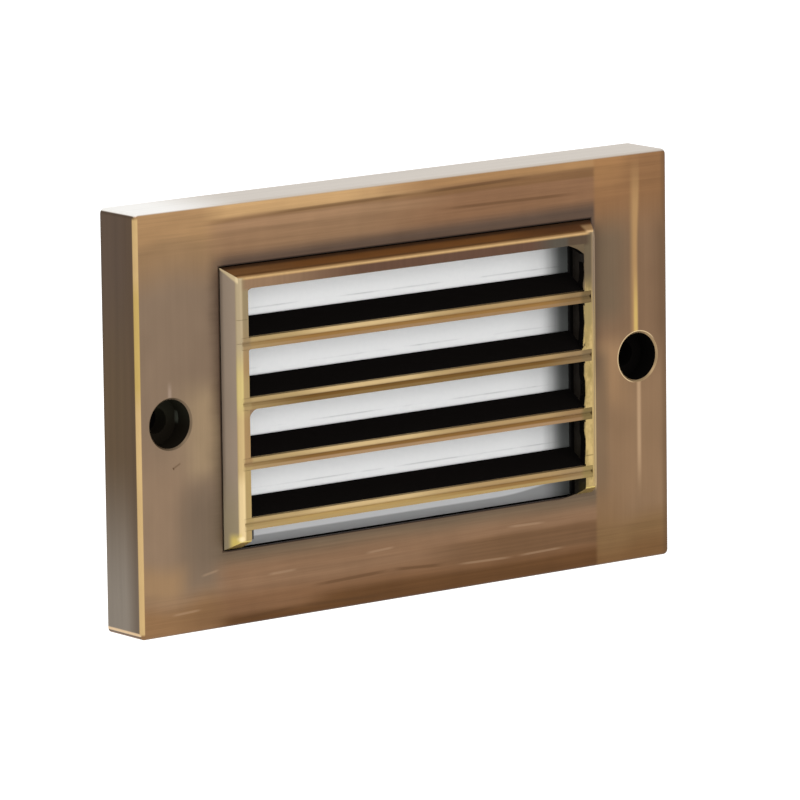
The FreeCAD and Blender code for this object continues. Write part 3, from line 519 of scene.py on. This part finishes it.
# A painted highlight near the foot of the left bar, and two fine seams across the bar's edge.
HIGHLIGHT_X = -40.25
HIGHLIGHT_Z = -21.9
SEAMS_Z = (17.45, 13.2)


def bar_edge(f):
    """The left bar's rubbed front edge: dull at its top and brightest near its foot."""
    return f.layer(srgb(189, 169, 112), [
        (f.rise(f.z, 6.0, 14.0), srgb(164, 147, 117)),
        (f.rise(f.z, 3.0, -1.0), srgb(183, 158, 112)),
        (f.rise(f.z, -9.0, -13.0), srgb(206, 182, 136)),
    ])


def left_bar(f):
    """The left bar's front, with a bright notch at its edge."""
    return f.layer(srgb(144, 117, 80), [
        (f.band(f.z, 2.0, 6.0, 3.0), srgb(148, 126, 86)),
        (f.rise(f.z, 8.0, 18.0), srgb(132, 116, 88)),
        (f.times(f.band(f.z, -11.3, -9.8, 0.3), f.rise(f.x, -38.6, -39.2)), srgb(222, 196, 150)),
        (f.rise(f.z, -8.6, -9.4), srgb(151, 129, 86)),
        (f.rise(f.x, -39.2, -39.7), bar_edge(f)),
    ])


def right_bar(f):
    """The right bar's front: patchy gold, dark at its top, with one line across."""
    patches = f.noise((0.5, 0.3, 0.28), detail=5.0, roughness=0.65, offset=21.0)
    gold = f.mix(f.rise(patches, 0.36, 0.62), srgb(143, 124, 78), srgb(182, 157, 104))
    outer = f.mix(f.rise(f.z, 6.0, 16.0), srgb(160, 136, 92), srgb(128, 109, 84))
    return f.layer(gold, [
        (f.band(f.z, 8.5, 12.0, 1.5), srgb(141, 124, 82)),
        (f.rise(f.z, 12.0, 18.0), srgb(92, 80, 62)),
        (f.times(f.band(f.z, -16.4, -16.3, 0.12), 0.55), srgb(84, 72, 42)),
        (f.rise(f.x, 39.5, 40.1), outer),
    ])


def frame_front(f):
    """The two bars and the dark head between them."""
    bars = f.mix(f.rise(f.x, -2.0, 2.0), left_bar(f), right_bar(f))
    head_edge = WINDOW_TOP - FRAME_DRAFT
    head_tone = f.layer(srgb(86, 63, 50), [
        (f.rise(f.x, -10.0, -36.0), srgb(128, 102, 78)),
        (f.rise(f.x, 25.0, 32.0), srgb(75, 69, 60)),
        (f.rise(f.x, 33.6, 35.0), srgb(76, 62, 49)),
        (f.rise(f.z, head_edge - 0.7, head_edge - 0.2), srgb(174, 141, 96)),
    ])
    head = f.times(f.rise(f.z, OPENING_TOP - 0.6, OPENING_TOP + 0.3),
                   f.rise(f.across, 40.0, 38.4))
    grain = f.noise((1.5, 0.4, 0.03), detail=4.0, offset=2.0)
    return f.grained(f.mix(head, bars, head_tone), grain, 0.3, 0.85)


def frame_side(f, depth):
    """The bars' outer sides, with bright front edges and feet, and a painted highlight along their
    tops.
    """
    lean = f.times(f.minus(1.0, f.math("DIVIDE", depth, PLATE_FRONT - FRAME_FRONT)), FRAME_DRAFT)
    from_top = f.plus(f.minus(f.z, WINDOW_TOP), lean)
    # A painted highlight along the mitre where a side meets the head.
    top = f.rise(from_top, f.linear(depth, 0.3, -1.4), f.linear(depth, 0.2, -0.8))
    foot = f.times(f.rise(f.z, WINDOW_FOOT + 3.6, WINDOW_FOOT + 1.8), f.rise(depth, 2.6, 1.4))
    right_edge = f.mix(f.rise(f.z, 2.0, 14.0), srgb(156, 134, 94), srgb(134, 114, 92))
    edge = f.mix(f.rise(f.x, -1.0, 1.0), bar_edge(f), right_edge)
    return f.layer(srgb(151, 135, 118), [
        (f.rise(depth, 2.4, 3.1), srgb(124, 109, 94)),
        (f.rise(f.z, -8.0, -20.0), srgb(148, 134, 108)),
        (f.rise(depth, 0.65, 0.35), f.tone(edge, 0.92)),
        (f.rise(depth, 0.4, 0.2), edge),
        (top, srgb(202, 182, 144)),
        (foot, srgb(206, 184, 104)),
    ])


def frame_crown(f, depth):
    """The head's upper side: brown, and paler along its front edge."""
    right_tip = f.times(f.rise(f.x, 38.4, 39.3), f.rise(depth, 2.3, 1.5))
    colour = f.layer(srgb(152, 103, 53), [
        (f.rise(f.x, -22.0, -36.0), srgb(154, 112, 68)),
        (f.rise(f.x, 18.0, 34.0), srgb(120, 80, 46)),
        (f.rise(depth, 2.0, 2.8), srgb(98, 68, 42)),
        (f.rise(depth, 1.0, 0.6), srgb(126, 90, 52)),
        (f.rise(depth, 0.4, 0.1), srgb(164, 130, 88)),
        (right_tip, srgb(206, 172, 124)),
    ])
    return f.grained(colour, f.noise((0.12, 0.8, 0.8), offset=31.0), 0.5, 0.75)


def frame_brass():
    """Relieved bars: bright along the front edges, black inside the opening and behind the
    plate's front."""
    f = Finish("louver_brass")
    depth = f.minus(f.y, FRAME_FRONT)
    opening = f.times(f.rise(f.across, OPENING_X + 0.12, OPENING_X - 0.02),
                      f.rise(f.z, OPENING_TOP + 0.12, OPENING_TOP - 0.02),
                      f.rise(depth, 0.08, 0.2))
    soot = f.most(opening, f.rise(f.y, PLATE_FRONT + 0.1, PLATE_FRONT + 0.3))
    inner_wall = f.mix(f.rise(f.y, LENS_FRONT - 1.0, LENS_FRONT), BLACK, srgb(44, 43, 42))
    from_highlight = f.distance(f.minus(f.x, HIGHLIGHT_X), f.minus(f.z, HIGHLIGHT_Z))
    lines = f.most(*[f.band(f.z, seam_z, seam_z + 0.05, 0.1) for seam_z in SEAMS_Z])
    near_front = f.rise(f.y, FRAME_FRONT + 0.5, FRAME_FRONT + 0.2)
    seams = f.times(lines, f.rise(f.x, -38.0, -38.6), near_front)
    colour = f.layer(frame_side(f, depth), [
        (f.rise(f.nz, 0.25, 0.5), frame_crown(f, depth)),
        (f.rise(f.ny, -0.82, -0.96), frame_front(f)),
        (f.rise(f.nz, -0.5, -0.8), srgb(190, 166, 96)),
        # The painted highlight on the rounded corner near the left bar's foot.
        (f.rise(from_highlight, 0.75, 0.2), srgb(226, 206, 160)),
        (soot, inner_wall),
        (f.times(seams, 0.5), srgb(92, 78, 52)),
    ])
    f.bump(f.noise((2.5, 2.5, 0.05)), 0.02, 0.3)
    return blackened(f, colour, soot, 0.38)


def braze_brass():
    """The filler left at the joints: dull gold with darker, olive patches."""
    f = Finish("braze_brass")
    patches = f.noise((0.9, 0.9, 0.9), detail=5.0, roughness=0.65)
    gold = f.mix(f.rise(patches, 0.35, 0.65), srgb(134, 118, 82), srgb(168, 146, 92))
    soot = f.rise(f.y, FRAME_FRONT + 0.12, FRAME_FRONT + 0.2)
    colour = f.layer(gold, [
        (f.rise(f.z, 9.0, 16.0), srgb(94, 80, 61)),
        (f.rise(f.x, 0.0, -1.0), srgb(126, 102, 78)),
        (soot, BLACK),
    ])
    f.bump(patches, 0.06, 0.5)
    return blackened(f, colour, soot, 0.42)


# From the top blade down: its groove, the lip below the groove, the stretch before its
# right end, and the end in its bar.
BLADE_TONES = [
    (srgb(146, 110, 62), srgb(136, 108, 76), srgb(109, 88, 60), srgb(101, 83, 55)),
    (srgb(110, 80, 40), srgb(114, 90, 55), srgb(120, 99, 71), srgb(113, 94, 66)),
    (srgb(127, 93, 50), srgb(147, 119, 88), srgb(124, 97, 66), srgb(110, 93, 58)),
    (srgb(165, 137, 86), srgb(152, 128, 84), srgb(133, 111, 80), srgb(133, 114, 72)),
]


def blade_brass(number):
    """A blade's front edge is relieved on both sides of its groove. The faces behind it
    keep their black."""
    f = Finish(f"blade_brass_{number}")
    groove, lip, near_end, end = BLADE_TONES[number - 1]
    polish = f.noise((0.05, 0.3, 0.8), detail=2.0, offset=float(number))
    groove = f.grained(groove, polish, 0.36, 0.82)
    if number == BLADE_NUMBERS[-1]:
        groove = f.mix(f.rise(f.x, -4.0, 20.0), groove, srgb(138, 106, 62))
    down = f.minus(BLADE_FEET[number - 1] + BLADE_EDGE, f.z)
    soot = f.rise(f.y, FRAME_FRONT + 0.24, FRAME_FRONT + 0.34)
    colour = f.layer(f.mix(polish, srgb(144, 122, 82), srgb(180, 154, 110)), [
        (f.times(f.band(f.x, -20.0, -4.0, 9.0), 0.8), srgb(184, 159, 115)),
        (f.times(f.rise(f.x, 0.0, 14.0), 0.7), srgb(146, 119, 81)),
        (f.rise(down, 0.72, 1.0), groove),
        (f.rise(down, 1.35, 1.65), f.grained(lip, polish, 0.36, 0.82)),
        (f.times(f.rise(f.x, 28.0, 36.0), 0.65), near_end),
        (f.rise(f.x, 36.8, 38.0), end),
        (f.times(f.rise(f.x, -24.0, -37.0), 0.6), srgb(150, 128, 88)),
        (f.rise(f.x, -37.4, -38.0), left_bar(f)),
        (soot, BLACK),
    ])
    return blackened(f, colour, soot, 0.38)


# ---------------------------------------------------------------- lens and hidden pieces

LENS_LINE = 1.15


def frosted_lens():
    """Opal pane. The frame's bars and the last blade shade its ends and its foot, and each
    blade leaves a faint, broken line LENS_LINE above its back edge."""
    f = Finish("frosted_lens")
    frost = f.noise((1.2, 1.2, 1.2), detail=5.0)
    white = f.mix(frost, srgb(241, 242, 242), srgb(250, 250, 249))
    colour = f.grained(white, f.rise(f.x, -10.0, 30.0), -0.03, 1.0)
    broken = f.rise(f.noise((0.09, 0.1, 0.5), offset=2.0), 0.42, 0.6)
    for blade_foot in BLADE_FEET:
        line = blade_foot + BLADE_EDGE + BLADE_RISE + LENS_LINE
        mark = f.times(f.band(f.z, line, line + 0.1, 0.14), broken, 0.3)
        colour = f.mix(mark, colour, srgb(120, 120, 120))
    lift = f.square(f.most(f.minus(f.x, 20.0), 0.0))
    foot_z = f.linear(lift, -0.007, f.z)
    end_x = f.linear(f.noise((0.7, 0.1, 0.03), offset=6.0), 1.2, f.x)
    colour = f.layer(colour, [
        (f.times(f.rise(f.z, -20.0, -21.4), 0.75), srgb(217, 217, 218)),
        (f.times(f.rise(foot_z, -22.5, -22.9), 0.9), srgb(151, 151, 151)),
        (f.times(f.rise(end_x, 24.0, 34.0), 0.1), srgb(50, 51, 51)),
        (f.times(f.rise(end_x, 31.8, 37.6), 0.98), srgb(84, 86, 84)),
    ])
    f.bump(frost, 0.01, 0.4)
    return f.set(Base_Color=colour, Roughness=0.55, IOR=1.49)


def plain(name, dark, light, stretch, roughness, relief, metallic=0.0, drilled=False):
    """A finish whose colour wanders between two tones, with a relief of its own grain. A
    drilled one is painted black inside the screws' holes as shade, with no specular there."""
    f = Finish(name)
    grain = f.noise(stretch, detail=4.0)
    f.bump(grain, relief, 0.6)
    colour = f.mix(grain, srgb(*dark), srgb(*light))
    if drilled:
        outside = f.rise(f.from_screw(), SCREW_BORE + 0.3, SCREW_BORE + 0.4)
        return f.set(Base_Color=f.mix(outside, BLACK, colour), Roughness=roughness,
                     Specular_IOR_Level=f.times(outside, 0.5))
    return f.set(Base_Color=colour, Metallic=metallic, Roughness=roughness)


FINE = (3.0, 3.0, 3.0)
CELLS = (6.0, 6.0, 6.0)
WEAVE = (0.9, 0.9, 0.9)
BRUSHED = (0.08, 2.0, 2.0)
METAL = 1.0
# These finishes are painted black inside the screws' holes, as shade.
DRILLED = ("housing_plastic", "foam")
# Dark and light tone, grain, roughness, relief in millimetres, and METAL where it is one.
PLAIN_FINISHES = {
    "silicone": ((126, 126, 128), (158, 158, 160), FINE, 0.6, 0.01),
    "stainless": ((168, 168, 170), (206, 206, 208), BRUSHED, 0.32, 0.01, METAL),
    "screw_steel": ((178, 178, 182), (214, 214, 218), FINE, 0.28, 0.01, METAL),
    "housing_plastic": ((42, 42, 45), (56, 56, 60), FINE, 0.55, 0.03),
    "foam": ((52, 52, 54), (84, 84, 86), CELLS, 0.95, 0.08),
    "tray_white": ((236, 236, 234), (246, 246, 244), FINE, 0.3, 0.005),
    "board_white": ((222, 224, 222), (238, 239, 237), FINE, 0.35, 0.005),
    "emitter": ((232, 198, 88), (250, 222, 122), FINE, 0.25, 0.01),
    "spreader_aluminium": ((190, 192, 195), (218, 220, 222), BRUSHED, 0.35, 0.01, METAL),
    "circuit_board": ((34, 104, 58), (48, 128, 74), WEAVE, 0.35, 0.01),
    "ferrite": ((62, 60, 60), (90, 88, 88), FINE, 0.7, 0.03),
    "capacitor_can": ((188, 190, 194), (220, 222, 226), BRUSHED, 0.3, 0.01, METAL),
    "package_black": ((42, 42, 44), (60, 60, 62), FINE, 0.5, 0.02),
    "terminal_green": ((46, 138, 74), (60, 158, 90), FINE, 0.4, 0.01),
    "gland_nylon": ((50, 50, 52), (70, 70, 73), FINE, 0.5, 0.03),
}


def make_materials():
    """The material of each slot in the record."""
    materials = {slot: plain(slot, *looks, drilled=slot in DRILLED)
                 for slot, looks in PLAIN_FINISHES.items()}
    materials["plate_brass"] = plate_brass()
    materials["louver_brass"] = frame_brass()
    materials["frosted_lens"] = frosted_lens()
    return materials


def clothe(node, material):
    for slot in frame["nodes"][node].material_slots:
        slot.material = material


slot_materials = make_materials()
for subpart in frame["record"]["subparts"]:
    clothe(subpart["node"], slot_materials[subpart["material_slot"]])
for blade_number in BLADE_NUMBERS:
    clothe(f"louver_blade_{blade_number}", blade_brass(blade_number))


# ---------------------------------------------------------------- small worn details, and a dark piece of painted shade

# The filler stands just clear of the frame's front, and overlaps the pieces beside it.
WEB_FRONT = FRAME_FRONT + 0.01
WEB_BACK = FRAME_FRONT + 1.5
OVERLAP = 0.1
BRAZE = braze_brass()


def make_piece(name, points, faces, material):
    """A mesh piece from points in millimetres, which moves with the face."""
    mesh = bpy.data.meshes.new(name)
    mesh.from_pydata([Vector(point) * MM for point in points], [], faces)
    mesh.materials.append(material)
    mesh.update()
    piece = bpy.data.objects.new(name, mesh)
    bpy.context.scene.collection.objects.link(piece)
    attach(piece, "face")


def make_slab(name, outline, front, back, bevel, material):
    """A thin slab with the outline (X, Z), counterclockwise seen from the front. Its front
    face is drawn in by the bevel."""
    count = len(outline)
    middle = sum((Vector(place) for place in outline), Vector((0.0, 0.0))) / count
    drawn_in = []
    for place in outline:
        inward = middle - Vector(place)
        drawn_in.append(Vector(place) + inward.normalized() * min(bevel, inward.length * 0.5))
    rings = [(drawn_in, front), (outline, front + bevel), (outline, back)]
    points = [(x, level, z) for ring, level in rings for x, z in ring]
    faces = [tuple(range(count)), tuple(range(3 * count - 1, 2 * count - 1, -1))]
    for ring in (0, count):
        for number in range(count):
            follow = (number + 1) % count
            faces.append((ring + number, ring + count + number, ring + count + follow,
                          ring + follow))
    make_piece(name, points, faces, material)


def corner_outline(corner, reach_x, reach_z, hollow, steps=8):
    """A corner filled by a hollow curve. The reaches run away from the corner. hollow is
    1 for a quarter ellipse and 0 for a straight cut."""
    x, z = corner
    curve = []
    for step in range(steps + 1):
        angle = math.pi / 2 * step / steps
        round_x, round_z = 1 - math.sin(angle), 1 - math.cos(angle)
        straight = step / steps
        part_x = hollow * round_x + (1 - hollow) * (1 - straight)
        part_z = hollow * round_z + (1 - hollow) * straight
        curve.append((x + reach_x * part_x, z + reach_z * part_z))
    outline = [corner] + curve
    if reach_x * reach_z < 0:
        outline.reverse()
    return outline


def bead_outline(places):
    """A bead along the right bar's inner edge. places are (height, width), going up."""
    back = OPENING_X + 0.3
    inner = [(OPENING_X - width, z) for z, width in places]
    return [(back, places[-1][0]), *reversed(inner), (back, places[0][0])]


def make_corner_webs():
    """Filler in the corners between the blades and the bars."""
    right = OPENING_X + OVERLAP
    left = -right
    head = OPENING_TOP + OVERLAP
    tops = [foot + BLADE_EDGE - OVERLAP for foot in BLADE_FEET]
    feet = [foot + OVERLAP for foot in BLADE_FEET]
    webs = [
        ("web_head_right", (right, head), -4.0, -2.1, 0.3),
        ("web_head_left", (left, head), 1.6, -0.7, 1.0),
        ("web_right_1", (right, tops[0]), -0.35, 1.6, 0.9),
        ("web_right_2", (right, tops[1]), -1.0, 2.0, 0.5),
        ("web_right_3", (right, tops[2]), -0.7, 0.9, 0.6),
        ("web_right_4", (right, tops[3]), -0.5, 0.5, 0.8),
        ("web_left_2", (left, feet[1]), 2.1, -1.9, 1.0),
        ("web_left_1", (left, feet[0]), 1.0, -0.5, 1.0),
        ("web_left_4", (left, tops[3]), 0.6, 0.5, 1.0),
    ]
    for name, corner, reach_x, reach_z, hollow in webs:
        outline = corner_outline(corner, reach_x, reach_z, hollow)
        make_slab(name, outline, WEB_FRONT, WEB_BACK, 0.12, BRAZE)


def make_edge_beads():
    """Uneven filler down the right bar's inner edge."""
    beads = [
        ("bead_right_1", [(14.4, 0.3), (15.6, 0.35), (16.6, 0.1), (17.6, 0.02), (19.5, 0.1)]),
        ("bead_right_2", [(4.0, 0.5), (6.5, 0.25), (8.4, 0.05), (9.8, 0.15), (11.6, 0.25)]),
        ("bead_right_3", [(-7.2, 0.3), (-6.0, 0.15), (-5.2, 0.0), (-2.4, 0.0), (-1.4, 0.25),
                          (0.9, 0.2)]),
        ("bead_right_4", [(-18.0, 0.2), (-16.0, 0.1), (-14.4, 0.0), (-13.2, 0.02),
                          (-11.8, 0.3), (-10.0, 0.25)]),
    ]
    for name, places in beads:
        make_slab(name, bead_outline(places), WEB_FRONT, WEB_BACK, 0.1, BRAZE)


def make_window_corner():
    """The window's foot curves up to the right bar, in a finish like the plate's."""
    corner = (WINDOW_X + 0.6, WINDOW_FOOT - 0.62)
    outline = corner_outline(corner, -11.5, 3.4, 1.0, steps=14)
    make_slab("window_corner", outline, PLATE_FRONT - 0.03, PLATE_FRONT + 0.9, 0.03,
              plain("window_corner", (84, 70, 56), (98, 83, 67), (0.05, 1.0, 1.2), 0.45, 0.01,
                    METAL))


def make_slot_shade_piece():
    """A small dark piece of painted shade at the left end of the slot under the last blade."""
    left, right = -36.0, -35.2
    foot, top = -23.0, -20.6
    outline = [(left, foot), (right, foot), (right, top), (left, top)]
    make_slab("slot_shade_piece", outline, PLATE_FRONT + 0.3, LENS_FRONT - 0.05, 0.1,
              plain("slot_shade_piece", (34, 33, 30), (56, 54, 50), FINE, 0.6, 0.02))


make_corner_webs()
make_edge_beads()
make_window_corner()
make_slot_shade_piece()


# ---------------------------------------------------------------- floor, light and camera

WORLD_LEVEL = 0.97
WHITE_LEVEL = 1.0
FLOOR_REACH = 14.0
FLOOR_Z = -0.13
FLOOR_GREY = 0.9
FLOOR_GLOW = 0.4
# Each lamp's name, its place and its width in metres, and its power in watts.
LAMPS = [("key", (-0.5, -1.3, 1.1), 0.9, 5.0), ("fill", (1.0, -1.2, 0.4), 0.9, 2.4)]
CAMERA_PLACE = Vector((-816.32, -1072.54, 234.72)) * MM
CAMERA_RIGHT = Vector((0.79232216, -0.60997077, -0.01269839))
CAMERA_UP = Vector((0.11600425, 0.13018474, 0.98468012))
CAMERA_LENS = 339.41
CAMERA_SENSOR = 36.0


def is_seen(tree):
    """1 for rays from the camera and for those that a mirror or glass passes on."""
    paths = tree.nodes.new("ShaderNodeLightPath")
    total = paths.outputs["Is Camera Ray"]
    for name in ("Is Glossy Ray", "Is Transmission Ray"):
        node = tree.nodes.new("ShaderNodeMath")
        node.operation = "MAXIMUM"
        tree.links.new(total, node.inputs[0])
        tree.links.new(paths.outputs[name], node.inputs[1])
        total = node.outputs[0]
    return total


def make_world():
    """An even surround: white where it is seen, and a little less where it only lights."""
    world = bpy.data.worlds.new("studio")
    world.use_nodes = True
    tree = world.node_tree
    background = tree.nodes["Background"]
    background.inputs["Color"].default_value = (1, 1, 1, 1)
    strength = tree.nodes.new("ShaderNodeMix")
    seen, unseen_level, seen_level = (strength.inputs[number] for number in (0, 2, 3))
    tree.links.new(is_seen(tree), seen)
    unseen_level.default_value = WORLD_LEVEL
    seen_level.default_value = WHITE_LEVEL
    tree.links.new(strength.outputs[0], background.inputs["Strength"])
    bpy.context.scene.world = world


def make_floor():
    """A pale floor that takes the object's shadow and glows where it is seen."""
    mesh = bpy.data.meshes.new("floor")
    sides = [(-1, -1), (1, -1), (1, 1), (-1, 1)]
    mesh.from_pydata([(x * FLOOR_REACH, y * FLOOR_REACH, FLOOR_Z) for x, y in sides], [],
                     [(0, 1, 2, 3)])
    floor = bpy.data.objects.new("floor", mesh)
    bpy.context.scene.collection.objects.link(floor)
    material = bpy.data.materials.new("floor")
    material.use_nodes = True
    tree = material.node_tree
    diffuse = tree.nodes["Principled BSDF"]
    diffuse.inputs["Base Color"].default_value = (FLOOR_GREY, FLOOR_GREY, FLOOR_GREY, 1)
    diffuse.inputs["Roughness"].default_value = 1.0
    glow = tree.nodes.new("ShaderNodeEmission")
    share = tree.nodes.new("ShaderNodeMath")
    share.operation = "MULTIPLY"
    share.inputs[1].default_value = FLOOR_GLOW
    tree.links.new(is_seen(tree), share.inputs[0])
    tree.links.new(share.outputs[0], glow.inputs["Strength"])
    both = tree.nodes.new("ShaderNodeAddShader")
    tree.links.new(diffuse.outputs[0], both.inputs[0])
    tree.links.new(glow.outputs[0], both.inputs[1])
    tree.links.new(both.outputs[0], tree.nodes["Material Output"].inputs["Surface"])
    mesh.materials.append(material)


def make_lamp(name, place, width, power):
    """A soft square lamp that faces the object."""
    light = bpy.data.lights.new(name, "AREA")
    light.shape = "SQUARE"
    light.size = width
    light.energy = power
    lamp = bpy.data.objects.new(name, light)
    lamp.location = place
    lamp.rotation_euler = Vector(place).to_track_quat("Z", "Y").to_euler()
    bpy.context.scene.collection.objects.link(lamp)


def make_camera():
    camera = bpy.data.objects.new("camera", bpy.data.cameras.new("camera"))
    back = CAMERA_RIGHT.cross(CAMERA_UP)
    turn = Matrix((CAMERA_RIGHT, CAMERA_UP, back)).transposed()
    camera.matrix_world = Matrix.Translation(CAMERA_PLACE) @ turn.to_4x4()
    camera.data.sensor_width = CAMERA_SENSOR
    camera.data.lens = CAMERA_LENS
    camera.data.clip_start = 0.05
    camera.data.clip_end = 60.0
    bpy.context.scene.collection.objects.link(camera)
    bpy.context.scene.camera = camera


make_world()
make_floor()
for lamp_looks in LAMPS:
    make_lamp(*lamp_looks)
make_camera()
bpy.context.scene.view_settings.view_transform = "Standard"
